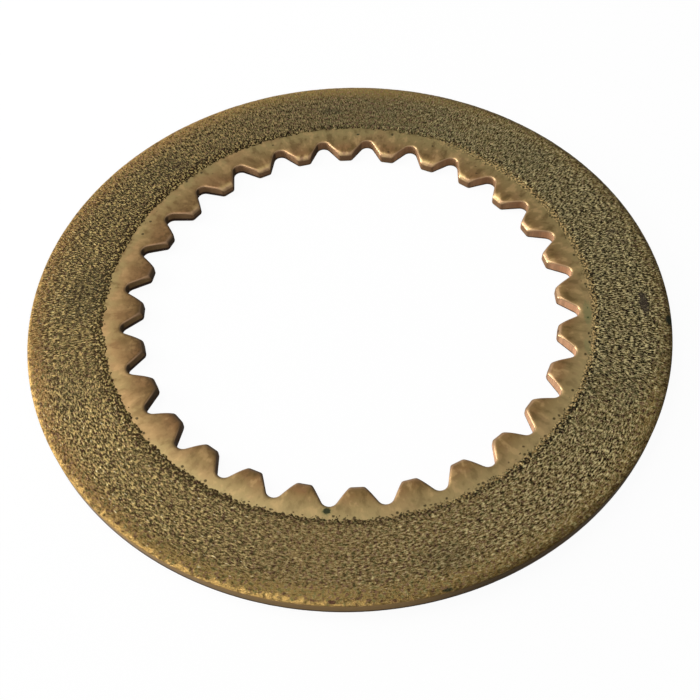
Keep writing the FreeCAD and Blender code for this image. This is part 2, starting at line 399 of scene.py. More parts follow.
def toothed_outline(tree, given):
    """Draw the closed outline of the toothed hole, flat at height zero."""
    tip, flank = given["Tip Radius"], given["Flank Angle"]
    # the flanks of a gap would meet at the apex, outside the round at its bottom
    behind = reckon("DIVIDE", given["Root Round"], reckon("SINE", flank))
    apex = plus(less(given["Gap Radius"], given["Root Round"]), behind)
    ratio = reckon("DIVIDE", times(apex, reckon("SINE", flank)), tip)
    corner_angle = less(reckon("ARCSINE", ratio), flank)
    points = times(given["Tooth Count"], 3)
    circle = add(tree, "GeometryNodeCurvePrimitiveCircle", {"Resolution": points, "Radius": 1.0})
    number = add(tree, "GeometryNodeInputIndex").outputs[0]
    side = less(reckon("MODULO", number, 3), 1)
    pitch = reckon("DIVIDE", 2 * pi, given["Tooth Count"])
    gap_number = reckon("FLOOR", reckon("DIVIDE", plus(number, 0.5), 3))
    angle = plus(times(gap_number, pitch), times(side, corner_angle))
    at_apex = less(1, reckon("ABSOLUTE", side))
    radius = scaled(less(apex, tip), at_apex, tip)
    star = add(tree, "GeometryNodeSetPosition",
               {"Geometry": circle.outputs["Curve"], "Position": polar(radius, angle)})
    rounding = scaled(less(given["Root Round"], given["Tip Round"]), at_apex, given["Tip Round"])
    rounded = add(tree, "GeometryNodeFilletCurve",
                  {"Curve": star.outputs[0], "Radius": rounding, "Count": 12,
                   "Limit Radius": True}, mode="POLY")
    return rounded.outputs[0]


print("corners of the outline:", 3 * TOOTH_COUNT)

# %% [markdown]
# ## The plate with its rolled edge
# When a punch drives teeth out of a plate, the edge where it enters is pulled down and
# rounded, more at the free tips of the teeth than along their flanks, and the last part of
# the wall tears off rough. A bevel of one width can't show that. Here the top is a fan of
# points from the outline out to the rim, and each point drops by how near it is to the
# outline, which Geometry Proximity measures, and by how near it is to the tips' circle.

# %% Plate
ROLL_WIDTH = 0.65 * MM
ROLL_DROP = 0.32 * MM
TIP_ROLL_WIDTH = 2.3 * MM
TIP_ROLL_DROP = 0.52 * MM
TORN_HEIGHT = 0.35 * MM
TORN_STEP = 0.12 * MM
COLUMNS_PER_TOOTH = 60
SEAM_GAP = 0.004 * MM
TIP_ROLL_CURVE = 2.6
ROWS_TO_EDGE = 1.6


def plate_tree():
    """Make the tree that grows the toothed plate."""
    sizes = dict(OUTLINE_SIZES)
    for label in ("Rim Radius", "Band Radius", "Half Thickness", "Roll Width", "Roll Drop",
                  "Tip Roll Width", "Tip Roll Drop", "Torn Height", "Torn Step"):
        sizes[label] = "Float"
    sizes["Columns"] = "Int"
    tree, given = shape_tree("toothed_plate", sizes)
    outline = toothed_outline(tree, given)
    edge = add(tree, "GeometryNodeCurveToMesh", {"Curve": outline}).outputs["Mesh"]
    top = given["Half Thickness"]
    bottom = times(top, -1)

    def on_outline(round_share):
        """Distance from the axis and direction of a point of the outline."""
        sample = add(tree, "GeometryNodeSampleCurve", {"Curves": outline, "Factor": round_share},
                     mode="FACTOR", use_all_curves=True)
        here = sample.outputs["Position"]
        return length_of(here), vector("NORMALIZE", here)

    def at(direction, radius, height):
        """Point in a direction from the axis, at a radius and a height."""
        lift = add(tree, "ShaderNodeCombineXYZ", {"Z": height})
        return vector("ADD", vector("SCALE", direction, Scale=radius), lift.outputs[0])

    def drop(direction, radius, near=None):
        """How far the punch pulled the top down at a point."""
        if near is None:
            near = add(tree, "GeometryNodeProximity",
                       {"Target": edge, "Source Position": at(direction, radius, 0.0)},
                       target_element="EDGES").outputs["Distance"]
        inside = less(1, reckon("DIVIDE", near, given["Roll Width"]), clamp=True)
        curve = reckon("SQRT", less(1, times(inside, inside)))
        flank = times(given["Roll Drop"], less(1, curve))
        past_tip = less(radius, given["Tip Radius"])
        towards_tip = less(1, reckon("DIVIDE", past_tip, given["Tip Roll Width"]), clamp=True)
        tips = times(given["Tip Roll Drop"], reckon("POWER", towards_tip, TIP_ROLL_CURVE))
        return plus(flank, tips)

    def top_point(round_share, cross_share):
        """Top face from the outline out to the band under the ring, closest rows at the edge."""
        start, direction = on_outline(round_share)
        out = reckon("POWER", cross_share, ROWS_TO_EDGE)
        radius = scaled(less(given["Band Radius"], start), out, start)
        return at(direction, radius, less(top, drop(direction, radius)))

    def wall_point(round_share, cross_share):
        """Wall of the teeth, from the rolled edge down to the torn part."""
        start, direction = on_outline(round_share)
        upper = less(top, drop(direction, start, near=0.0))
        lower = plus(bottom, given["Torn Height"])
        height = scaled(less(lower, upper), cross_share, upper)
        return at(direction, start, height)

    def torn_point(round_share, cross_share):
        """Torn strip along the lower edge, which leans back a little."""
        start, direction = on_outline(round_share)
        radius = scaled(cross_share, given["Torn Step"], start)
        lower = plus(bottom, given["Torn Height"])
        height = scaled(less(bottom, lower), cross_share, lower)
        return at(direction, radius, height)

    def underside_point(round_share, cross_share):
        """Flat underside, from the torn edge out to the rim."""
        start, direction = on_outline(round_share)
        torn = plus(start, given["Torn Step"])
        radius = scaled(less(given["Rim Radius"], torn), cross_share, torn)
        return at(direction, radius, bottom)

    def hidden_point(round_share, cross_share):
        """Top face under the ring, out to the rim."""
        direction = on_outline(round_share)[1]
        radius = scaled(less(given["Rim Radius"], given["Band Radius"]),
                        cross_share, given["Band Radius"])
        return at(direction, radius, top)

    def rim_point(round_share, cross_share):
        """Upright wall of the rim."""
        direction = on_outline(round_share)[1]
        height = scaled(less(bottom, top), cross_share, top)
        return at(direction, given["Rim Radius"], height)

    columns = given["Columns"]
    strips = [ring_strip(tree, columns, rows, place)
              for rows, place in ((25, top_point), (6, wall_point), (3, torn_point),
                                  (5, underside_point), (3, hidden_point), (5, rim_point))]
    end_tree(tree, sewn(tree, strips, SEAM_GAP), given)
    return tree


print(f"roll {ROLL_WIDTH / MM:.2f} mm wide, {ROLL_DROP / MM:.2f} mm deep")

# %% [markdown]
# ## Painting with nodes
# Colours go by place, slope and noise on Object coordinates, so no finish needs unwrapping.
# The marks that wear and storage left on the disc, such as dots, a smudge and dark spots on the
# rim, are laid over each finish by one loop over a list of named marks.

# %% Finish helpers


def start_finish(name):
    """Start a finish: its tree, its shader, and the place of the point being painted."""
    finish = bpy.data.materials.new(name)
    finish.use_nodes = True
    tree = finish.node_tree
    shader = tree.nodes["Principled BSDF"]
    place = add(tree, "ShaderNodeTexCoord").outputs["Object"]
    return finish, tree, shader, place


def reach(place, centre=(0, 0)):
    """Distance from an upright axis through a point of the plane."""
    axes = split(place)
    return length_of(xyz(less(axes["X"], centre[0]), less(axes["Y"], centre[1])))


def ramp(value, start, end, low=0.0, high=1.0):
    """Fade between two places given in millimetres."""
    return fade(value, start * MM, end * MM, low, high)


def blend_in(share, under, over):
    """Lay one colour over another by a share."""
    node = add(tree_of(share), "ShaderNodeMix", {"Factor": share}, data_type="RGBA")
    put(node.inputs[6], under)
    put(node.inputs[7], over)
    return node.outputs[2]


def layered(colour, layers):
    """Lay colours over one another in order, each by its own share."""
    for share, over in layers:
        colour = blend_in(share, colour, linear(*over) if isinstance(over, tuple) else over)
    return colour


def cloud(place, size, detail=2.0, rough=0.5):
    """Soft flat noise whose patches are about this wide, from 0 to 1."""
    return add(tree_of(place), "ShaderNodeTexNoise",
               {"Vector": place, "Scale": 1 / size, "Detail": detail, "Roughness": rough},
               noise_dimensions="2D").outputs["Fac"]


def unrolled(place):
    """Lay the ring out as a straight strip: distance from the axis, and way round in metres."""
    axes = split(place)
    angle = reckon("ARCTAN2", axes["Y"], axes["X"])
    return reach(place), times(angle, 0.85 * RIM_RADIUS)


def strokes_outwards(place, stretch):
    """Place on the strip, shrunk along the radius, which draws a pattern out that way."""
    out, way_round = unrolled(place)
    return xyz(reckon("DIVIDE", out, stretch), way_round)


def strokes_round(place, stretch):
    """Place on the strip, shrunk along the way round."""
    out, way_round = unrolled(place)
    return xyz(out, reckon("DIVIDE", way_round, stretch))


print("finish helpers ready")

# %% [markdown]
# ## The marks
# Each mark has a place on the disc in millimetres, a length, a width, the angle of its long
# side, how strongly it covers and its colour. Its outline is softened, and a little noise
# makes it uneven. The underside isn't in the photograph, so no mark reaches it.

# %% Marks
BLACK_GREEN = (38, 42, 26)
DARK_BROWN = (52, 34, 24)
PURPLE_BROWN = (78, 46, 38)
GREY_BROWN = (76, 64, 54)
GREEN = (92, 96, 58)
PALE_GREEN = (104, 110, 72)
DARK_GREY = (66, 56, 47)
# name: (x, y, length, width, angle in degrees, cover, colour)
PLATE_MARKS = {
    "halo_under_a_gap": (-0.19, -45.47, 2.1, 1.9, 0, 0.45, GREEN),
    "dot_under_a_gap": (-0.19, -45.47, 1.5, 1.3, 0, 0.97, BLACK_GREEN),
    "green_patch_right": (46.0, -0.5, 6.0, 1.8, 92, 0.5, PALE_GREEN),
    "green_patch_low": (45.6, -8.5, 4.0, 1.4, 100, 0.35, PALE_GREEN),
    "green_dot": (-2.24, 46.32, 0.85, 0.6, 10, 0.85, BLACK_GREEN),
    "dot_top": (4.88, 41.37, 0.7, 0.5, 0, 0.7, DARK_BROWN),
    "dot_top_right_a": (24.0, 37.96, 0.5, 0.4, 0, 0.6, DARK_BROWN),
    "dot_top_right_b": (24.24, 35.85, 0.5, 0.4, 0, 0.6, DARK_BROWN),
    "dot_top_right_c": (27.67, 37.89, 0.4, 0.4, 0, 0.6, DARK_BROWN),
    "dot_right": (30.62, 27.42, 0.5, 0.4, 30, 0.6, DARK_BROWN),
    "dot_low_right_a": (33.14, -30.81, 0.55, 0.45, 0, 0.8, DARK_BROWN),
    "dot_low_right_b": (30.48, -34.16, 0.45, 0.4, 0, 0.7, DARK_BROWN),
    "tip_notch": (40.18, -4.78, 0.7, 0.45, 60, 0.8, DARK_BROWN),
    "pit_right": (46.04, -1.57, 0.45, 0.45, 0, 0.95, BLACK_GREEN),
    "pit_halo": (46.04, -1.57, 1.2, 1.0, 0, 0.35, GREEN),
    "star_pit_a": (46.2, -6.1, 0.6, 0.4, 20, 0.9, BLACK_GREEN),
    "star_pit_b": (46.0, -7.5, 0.5, 0.35, 80, 0.9, BLACK_GREEN),
}
RING_MARKS = {
    "cloud_left": (-51.7, -2.8, 15.0, 9.0, 80, 0.3, BLACK_GREEN),
    "cloud_low_left": (-49.0, -25.8, 11.0, 7.0, 110, 0.14, BLACK_GREEN),
    "cloud_upper_left": (-43.4, 32.7, 12.0, 6.0, 50, 0.2, BLACK_GREEN),
    "cloud_upper_right": (34.0, 43.0, 14.0, 8.0, -38, 0.13, BLACK_GREEN),
    "cloud_bottom": (20.0, -52.5, 9.0, 6.0, 20, 0.22, BLACK_GREEN),
    "smudge": (57.0, 2.5, 6.0, 1.9, 95, 0.88, DARK_GREY),
    "black_spot_at_rim": (61.5, -1.4, 2.8, 1.6, 90, 0.97, BLACK_GREEN),
    "patch_left": (-53.4, -2.2, 4.0, 2.2, 80, 0.25, DARK_BROWN),
    "patch_upper_left": (-40.1, 33.9, 4.0, 2.5, 45, 0.35, DARK_BROWN),
    "patch_top": (-9.0, 53.1, 5.0, 2.2, 0, 0.35, BLACK_GREEN),
    "patch_right": (52.0, 20.5, 3.2, 1.6, 60, 0.4, GREY_BROWN),
    "spot_at_chip": (20.6, -58.0, 2.0, 0.6, 18, 0.9, BLACK_GREEN),
    "rim_spot_a": (2.2, -61.3, 1.6, 0.7, 5, 0.85, PURPLE_BROWN),
    "rim_spot_b": (6.4, -60.4, 1.1, 0.6, 20, 0.7, PURPLE_BROWN),
    "rim_spot_c": (-1.0, -61.2, 0.7, 0.5, 0, 0.6, PURPLE_BROWN),
    "rim_spot_d": (12.2, -60.3, 0.8, 0.5, 10, 0.7, PURPLE_BROWN),
    "rim_spot_e": (13.6, -60.0, 0.6, 0.4, 10, 0.6, PURPLE_BROWN),
    "rim_dot_left": (-58.8, 18.4, 0.8, 0.7, 0, 0.7, DARK_BROWN),
    "rim_dot_far_left": (-61.4, 3.6, 0.8, 0.6, 90, 0.7, DARK_BROWN),
}
MARK_GRAIN = 0.35 * MM


def marked(place, colour, marks):
    """Lay every mark of a list over a colour."""
    axes = split(place)
    uneven = scaled(cloud(place, MARK_GRAIN), 0.9, -0.45)
    upper_side = fade(axes["Z"], -0.2 * MM, 0.2 * MM)
    for x, y, length, width, angle, cover, tint in marks.values():
        turn = radians(angle)
        aside = less(axes["X"], x * MM)
        along = less(axes["Y"], y * MM)
        far = plus(times(aside, 2 * cos(turn) / (length * MM)),
                   times(along, 2 * sin(turn) / (length * MM)))
        wide = plus(times(aside, -2 * sin(turn) / (width * MM)),
                    times(along, 2 * cos(turn) / (width * MM)))
        away = reckon("SQRT", plus(times(far, far), times(wide, wide)))
        share = fade(plus(away, uneven), 1.15, 0.6, high=cover)
        colour = blend_in(times(share, upper_side), colour, linear(*tint))
    return colour


print(len(PLATE_MARKS), "marks on the plate,", len(RING_MARKS), "on the ring")

# %% [markdown]
# ## The finish of the plate
# The plate is steel with a thin flash of copper, tarnished brown by oil. The band beside the
# ring is more olive, and paler towards the front, except on the left. The teeth are browner,
# and soft streaks run outwards over both; the teeth and their roots on the left get painted
# shade. The rolled edges are a little creamy, partly burnished and partly a painted highlight,
# and the tips of the far teeth get a painted highlight too. The walls of the teeth have kept
# the salmon colour of copper on the right, get painted shade on the left and at the far side,
# and have a dark torn strip along their lower edge. Edges and walls that face right and away
# get painted shade, nearly black, and so does the rim's wall on the right. Beside the ring
# the plate has small dark pits, most at the near right, and at the right a narrow strip of
# golden specks.
# All of this goes by where a point lies and how it slopes, so a cell of such shares comes
# first, and the colours are then laid over each other by them.

# %% Colours of the plate
BROWN = (116, 92, 56)
ROSY_BROWN = (122, 92, 58)
OLIVE = (133, 116, 75)
BLUSH = (140, 108, 72)
DULL_BROWN = (120, 90, 64)
OIL_STREAK = (84, 66, 36)
PALE_STREAK = (172, 142, 96)
PINK = (138, 98, 66)
SHADED_LEFT_TOOTH = (82, 62, 36)
SHADED_LEFT_ROOT = (100, 76, 44)
PALER_FRONT_BAND = (158, 138, 96)
FAR_TIP_HIGHLIGHT = (206, 180, 118)
OILY_OLIVE = (104, 100, 62)
PIT_BROWN = (50, 41, 24)
GOLD_SPECK = (208, 174, 116)
DARK_SPECK = (38, 32, 18)
SALMON = (222, 172, 132)
SHADED_LEFT_WALL = (140, 112, 72)
SHADED_FAR_WALL = (158, 120, 84)
TIP_WALL = (118, 88, 60)
CREAM_AND_HIGHLIGHT = (212, 172, 134)
PLATE_RIM = (176, 142, 94)
SHADED_RIM = (58, 48, 32)
SHADE_BLACK = (48, 38, 24)
TORN_BROWN = (70, 52, 42)
PATCH_SIZE = 7 * MM
MOTTLE_SIZE = 0.9 * MM
SMEAR_SIZE = 2.4 * MM
SPECK_SIZE = 0.42 * MM
PIT_SPACING = 0.9 * MM
PIT_SHARE_OF_SPACING = 0.4
print("olive in light:", [round(x, 3) for x in linear(*OLIVE)])

# %% Places on the plate


def plate_places(place):
    """Shares that the plate's colours go by: where a point lies, and how it slopes."""
    axes = split(place)
    radius = reach(place)
    normal = split(add(tree_of(place), "ShaderNodeNewGeometry").outputs["True Normal"])
    flat = reckon("ABSOLUTE", normal["Z"])
    faces_away = plus(times(normal["X"], 0.8), times(normal["Y"], 0.6))
    near_right = scaled(axes["Y"], -0.6, axes["X"])
    in_hole = fade(radius, 0.9 * RIM_RADIUS, 0.8 * RIM_RADIUS)
    beside_ring = times(fade(radius, RING_HOLE_RADIUS - 2.2 * MM, RING_HOLE_RADIUS + 0.3 * MM),
                        fade(radius, RING_HOLE_RADIUS + 2.0 * MM, RING_HOLE_RADIUS + 1.0 * MM),
                        fade(flat, 0.5, 0.9))
    return {"x": axes["X"], "y": axes["Y"], "z": axes["Z"], "radius": radius,
            "in hole": in_hole, "beside ring": beside_ring,
            "band": fade(radius, TIP_RADIUS + 2.0 * MM, RING_HOLE_RADIUS - 0.8 * MM, smooth=False),
            "left": ramp(axes["X"], -5, -45),
            "pitted": times(beside_ring, ramp(near_right, -10, 30, 0.06, 0.75)),
            "wall": fade(flat, 0.4, 0.1),
            "rolled": fade(flat, 0.98, 0.85),
            # share of painted shade: edges and walls in the hole that face right and away from the
            # lamps
            "dark": times(fade(faces_away, 0.15, 0.55), in_hole, 0.85)}


def peppered(place, spacing, size, share):
    """Small round pits: one in each cell of a pattern, and only in a share of the cells."""
    cells = add(tree_of(place), "ShaderNodeTexVoronoi", {"Vector": place, "Scale": 1 / spacing},
                voronoi_dimensions="2D")
    luck = split(cells.outputs["Color"])["X"]
    chosen = reckon("LESS_THAN", luck, share)
    return times(chosen, fade(cells.outputs["Distance"], size, size * 0.5))


print("pits", PIT_SPACING / MM, "mm apart at the most")

# %% Top and walls of the plate


def tarnish_and_painted_light(place, at, mottle, pits):
    """Colour of the band and of the teeth, on their flat faces, with painted shade on the left and a
    painted highlight on the far tips.
    """
    patch = cloud(place, PATCH_SIZE)
    smear = cloud(strokes_outwards(place, 1.3), SMEAR_SIZE, 3.0, 0.55)
    speck = cloud(place, SPECK_SIZE)
    band, left = at["band"], at["left"]
    tooth = less(1, band)
    specked = times(fade(at["radius"], RING_HOLE_RADIUS - 1.3 * MM, RING_HOLE_RADIUS - 0.7 * MM),
                    at["beside ring"], ramp(at["x"], 8, 36))
    # painted highlight, light golden, on the tips of the teeth at the far side
    far_tip_highlight = times(fade(at["radius"], TIP_RADIUS + 1.5 * MM, TIP_RADIUS + 0.3 * MM),
                     ramp(at["y"], 12, 34), fade(smear, 0.4, 0.55), 0.6)
    return layered(linear(*BROWN), [
        (fade(patch, 0.42, 0.62), ROSY_BROWN),
        (band, OLIVE),
        (times(fade(patch, 0.5, 0.68, high=0.5), band), BLUSH),
        (fade(mottle, 0.45, 0.3, high=0.35), DULL_BROWN),
        (fade(smear, 0.48, 0.3, high=0.65), OIL_STREAK),
        (fade(smear, 0.52, 0.7, high=0.5), PALE_STREAK),
        (times(left, fade(patch, 0.35, 0.6, 0.2, 0.8), 0.4), PINK),
        # painted shade over the teeth and their roots on the left, away from the lamps
        (times(left, fade(band, 0.9, 0.0), fade(mottle, 0.3, 0.6, 0.9, 0.5)), SHADED_LEFT_TOOTH),
        (times(band, tooth, left), SHADED_LEFT_ROOT),
        # the band is paler towards the front, except on the left
        (times(band, ramp(at["y"], 30, -15), ramp(at["x"], -45, -10), 0.45), PALER_FRONT_BAND),
        (times(at["beside ring"], 0.15), OILY_OLIVE),
        (times(pits, 0.85), PIT_BROWN),
        (times(specked, fade(speck, 0.52, 0.6), 0.85), GOLD_SPECK),
        (times(specked, fade(speck, 0.47, 0.4), 0.9), DARK_SPECK),
        (far_tip_highlight, FAR_TIP_HIGHLIGHT)])


def copper_wall_and_shade(at, mottle):
    """Colour of the walls of the teeth, above their torn strip, with painted shade on the left and at
    the far side.
    """
    tips = fade(at["radius"], TIP_RADIUS + 0.6 * MM, TIP_RADIUS + 0.1 * MM)
    return layered(linear(*SALMON), [
        # painted shade on the walls on the left and at the far side, which face away from the lamps
        (at["left"], SHADED_LEFT_WALL),
        (ramp(at["y"], 5, 35, high=0.8), SHADED_FAR_WALL),
        (fade(mottle, 0.4, 0.6, high=0.25), DULL_BROWN),
        (times(tips, 0.75), TIP_WALL)])


def copper_flash():
    """Tarnished copper flash on steel, with painted shade and painted highlights laid over it."""
    finish, tree, shader, place = start_finish("copper_flash")
    at = plate_places(place)
    wall, rolled, in_hole = at["wall"], at["rolled"], at["in hole"]
    mottle = cloud(place, MOTTLE_SIZE, detail=3.0, rough=0.6)
    pits = peppered(place, PIT_SPACING, PIT_SHARE_OF_SPACING, at["pitted"])
    # the rim's wall gets painted shade on the right, away from the lamps
    rim_wall = blend_in(ramp(at["x"], 8, 30, high=0.8), linear(*PLATE_RIM), linear(*SHADED_RIM))
    torn = fade(scaled(at["left"], -0.5 * MM, at["z"]),
                -plate_top + TORN_HEIGHT * 1.4, -plate_top + TORN_HEIGHT * 0.6)
    colour = layered(tarnish_and_painted_light(place, at, mottle, pits), [
        # cream on the rolled edges: partly burnished metal, partly a painted highlight
        (times(rolled, in_hole, 0.45), CREAM_AND_HIGHLIGHT),
        (times(wall, in_hole), copper_wall_and_shade(at, mottle)),
        (times(wall, fade(in_hole, 1.0, 0.0)), rim_wall),
        # painted shade, nearly black, on edges and walls that face away from the lamps
        (at["dark"], SHADE_BLACK),
        (times(torn, wall), TORN_BROWN)])
    put(shader.inputs["Base Color"], marked(place, colour, PLATE_MARKS))
    metal = times(fade(wall, 0, 1, 0.7, 0.05), fade(at["dark"], 0, 1, 1, 0.3))
    put(shader.inputs["Metallic"], metal)
    burnished = times(rolled, in_hole, fade(wall, 1, 0))
    rough = fade(at["band"], 0, 1, 0.52, 0.38)
    put(shader.inputs["Roughness"], scaled(burnished, -0.2, rough))
    put(shader.inputs["Specular IOR Level"], 0.12)
    bump = add(tree, "ShaderNodeBump", {"Height": less(mottle, pits),
                                        "Strength": 0.5, "Distance": 0.03 * MM})
    put(shader.inputs["Normal"], bump.outputs[0])
    return finish


plate_finish = copper_flash()
print(plate_finish.name, "has", len(plate_finish.node_tree.nodes), "nodes")

# %% Grow the plate
plate = grow("splined_plate", plate_tree(), {
    "Tip Radius": TIP_RADIUS, "Gap Radius": GAP_RADIUS, "Root Round": ROOT_ROUND,
    "Tip Round": TIP_ROUND, "Flank Angle": FLANK_ANGLE, "Tooth Count": TOOTH_COUNT,
    "Rim Radius": RIM_RADIUS, "Band Radius": RING_HOLE_RADIUS + 0.8 * MM,
    "Half Thickness": plate_top, "Roll Width": ROLL_WIDTH, "Roll Drop": ROLL_DROP,
    "Tip Roll Width": TIP_ROLL_WIDTH, "Tip Roll Drop": TIP_ROLL_DROP,
    "Torn Height": TORN_HEIGHT, "Torn Step": TORN_STEP,
    "Columns": TOOTH_COUNT * COLUMNS_PER_TOOTH + 1, "Finish": plate_finish})
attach(plate, "root")
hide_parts("core_plate")

# %% [markdown]
# ## The rings of sintered bronze
# Bronze powder is spread on the plate and baked until its grains hold together, then ground
# flat. What stays is a thin porous layer whose edge at the hole is as ragged as the powder
# lay, with stray grains on the bare plate beside it, most at the near right, and whose rim is
# worn to an uneven bevel. Both rings are one tree: strips bent round the disc, lifted and
# pitted by noise, and low grains scattered along the hole by a fixed seed. Finer grain than
# the mesh can hold is left to the finish.

# %% Ring
RING_SIZES = ("Hole Radius", "Hole Shift X", "Hole Shift Y", "Rim Radius", "Seat Height",
              "Thickness", "Side", "Ragged Depth", "Slope Width", "Worn Width", "Worn Drop",
              "Relief", "Grain Size", "Stray Reach", "Stray Density", "Stray Size", "Pattern")
WORN_CURVE = 1.7
THINNEST = 0.03 * MM


def bronze_ring_tree():
    """Make the tree that grows one bonded ring; Side is 1 above the plate and -1 below it."""
    sizes = {label: "Float" for label in RING_SIZES}
    sizes["Columns"] = sizes["Rows"] = sizes["Seed"] = "Int"
    tree, given = shape_tree("bronze_ring", sizes)
    centre = xyz(given["Hole Shift X"], given["Hole Shift Y"])

    def grainy(point, size, detail=1.0):
        """Noise at a point, from 0 to 1, with patches of a given size."""
        scale = add(tree, "ShaderNodeMath", {0: 1.0, 1: size}, operation="DIVIDE").outputs[0]
        return add(tree, "ShaderNodeTexNoise",
                   {"Vector": point, "W": given["Pattern"], "Scale": scale, "Detail": detail},
                   noise_dimensions="4D").outputs["Fac"]

    def towards(round_share):
        """Direction from the axis for a share of the way round."""
        angle = times(round_share, 2 * pi)
        return xyz(reckon("COSINE", angle), reckon("SINE", angle))

    def hole_edge(direction):
        """Ragged outline of the hole."""
        plain = vector("SCALE", direction, Scale=given["Hole Radius"])
        coarse = less(grainy(plain, 4 * MM), 0.5)
        fine = less(grainy(plain, 0.6 * MM, 2.0), 0.5)
        push = scaled(fine, 2.2, coarse)
        ragged = scaled(push, given["Ragged Depth"], given["Hole Radius"])
        return vector("ADD", vector("SCALE", direction, Scale=ragged), centre)

    def lift(point, height):
        """Put a flat point at a height, on the ring's own side of the plate."""
        return vector("ADD", point, xyz(z=times(height, given["Side"])))

    def surface(point, edge):
        """Height of the bronze over a flat point, inside a ragged edge."""
        inside = length_of(vector("SUBTRACT", point, edge))
        rise = fade(inside, 0.0, given["Slope Width"], low=0.3)
        full = times(given["Thickness"], rise)
        pits = fade(grainy(point, given["Grain Size"], 2.0), 0.55, 0.3)
        sway = fade(grainy(point, 3 * MM), 0.6, 0.4, high=0.4)
        deeper = fade(rise, 0.3, 1.0, 2.5, 1.0)
        low = times(given["Relief"], scaled(pits, deeper, sway))
        wander = scaled(grainy(point, 2.2 * MM, 2.0), 1.6, 0.2)
        width = times(given["Worn Width"], wander)
        past = less(length_of(point), less(given["Rim Radius"], width))
        worn = reckon("DIVIDE", past, width, clamp=True)
        drop = times(given["Worn Drop"], reckon("POWER", worn, WORN_CURVE))
        left = less(full, plus(low, drop))
        return plus(given["Seat Height"], reckon("MAXIMUM", left, THINNEST))

    def rim(direction):
        """Point of the rim in a direction."""
        return vector("SCALE", direction, Scale=given["Rim Radius"])

    def across(round_share, cross_share):
        """Flat point between the ragged hole and the rim, and the hole's edge beside it."""
        direction = towards(round_share)
        edge = hole_edge(direction)
        step = vector("SCALE", vector("SUBTRACT", rim(direction), edge), Scale=cross_share)
        return vector("ADD", edge, step), edge

    def top_point(round_share, cross_share):
        """Working face."""
        point, edge = across(round_share, cross_share)
        return lift(point, surface(point, edge))

    def upright(round_share, cross_share, end):
        """Wall from the seat up to the working face, at the hole (0) or at the rim (1)."""
        point, edge = across(round_share, end)
        full = less(surface(point, edge), given["Seat Height"])
        return lift(point, scaled(full, cross_share, given["Seat Height"]))

    def inner_point(round_share, cross_share):
        """Wall of the hole."""
        return upright(round_share, cross_share, 0.0)

    def outer_point(round_share, cross_share):
        """Wall of the rim."""
        return upright(round_share, cross_share, 1.0)

    def seat_point(round_share, cross_share):
        """Face that is bonded to the plate."""
        point, edge = across(round_share, cross_share)
        return lift(point, given["Seat Height"])

    columns = given["Columns"]
    strips = [ring_strip(tree, columns, rows, place)
              for rows, place in ((given["Rows"], top_point), (3, inner_point),
                                  (4, outer_point), (2, seat_point))]
    skin = sewn(tree, strips, SEAM_GAP)
    strays = stray_grains(tree, given, centre, lift)
    end_tree(tree, add_up(tree, [skin, strays]), given)
    return tree


def stray_grains(tree, given, centre, lift):
    """Scatter low grains on the plate beside the hole's edge, thinner further from it."""
    band = less(given["Hole Radius"], given["Stray Reach"])

    def band_point(round_share, cross_share):
        """Point of the bare band beside the hole, where grains may lie."""
        radius = scaled(given["Stray Reach"], cross_share, band)
        return vector("ADD", polar(radius, times(round_share, 2 * pi)), centre)

    bare = ring_strip(tree, 400, 7, band_point)
    here = add(tree, "GeometryNodeInputPosition").outputs[0]
    off = length_of(vector("SUBTRACT", here, centre))
    nearness = reckon("DIVIDE", less(off, band), given["Stray Reach"], clamp=True)
    axes = split(here)
    near_right = scaled(axes["Y"], -0.6, axes["X"])
    side = fade(near_right, -10 * MM, 30 * MM, low=0.1)
    density = times(times(given["Stray Density"], side), reckon("POWER", nearness, 2.0))
    points = add(tree, "GeometryNodeDistributePointsOnFaces",
                 {"Mesh": bare, "Density": density, "Seed": given["Seed"]})
    size = add(tree, "FunctionNodeRandomValue", {2: 0.35, 3: 1.0, "Seed": given["Seed"]})
    turn = add(tree, "FunctionNodeRandomValue", {2: 0.0, 3: 2 * pi, "Seed": given["Seed"]})
    ball = add(tree, "GeometryNodeMeshIcoSphere", {"Radius": given["Stray Size"], "Subdivisions": 1})
    grain = add(tree, "GeometryNodeTransform", {"Geometry": ball.outputs[0], "Scale": (1.25, 0.9, 0.6)})
    placed = add(tree, "GeometryNodeInstanceOnPoints",
                 {"Points": points.outputs["Points"], "Instance": grain.outputs[0],
                  "Rotation": xyz(z=turn.outputs[1]), "Scale": size.outputs[1]})
    real = add(tree, "GeometryNodeRealizeInstances", {"Geometry": placed.outputs[0]})
    height = scaled(given["Stray Size"], 0.25, given["Seat Height"])
    raised = add(tree, "GeometryNodeSetPosition",
                 {"Geometry": real.outputs[0], "Position": lift(here, height)})
    return raised.outputs[0]


print("inputs of a ring:", len(RING_SIZES) + 4)

# %% [markdown]
# ## The finish of the bronze
# Ground bronze shows light olive grains, all middle tones, and nearly black pores between
# them. One fine noise pattern gives all three: its low values are pores and its high values
# are bright grains. In the photograph the pattern is drawn out round the ring at the front
# and outwards elsewhere, so it is made twice and blended. A longer and thinner pattern gives
# the scratches, and its highest values the few painted glints at the near left. The speckle
# is strongest at the sides and along the hole, where coarser lumps join it, and weakest at
# the rim. The ground under it is browner on the left, has painted shade on the left and the
# upper left and a painted sheen at the near left and the front, and is dark along the hole,
# except at the far right, from denser pores and, wider on the left, from painted shade. At
# the far right and on the right the hole's edge has golden specks. The rim's bevel is worn
# golden, with a painted highlight at the near left where the light meets it, and the rim
# gets painted shade, nearly black-brown, on the right.

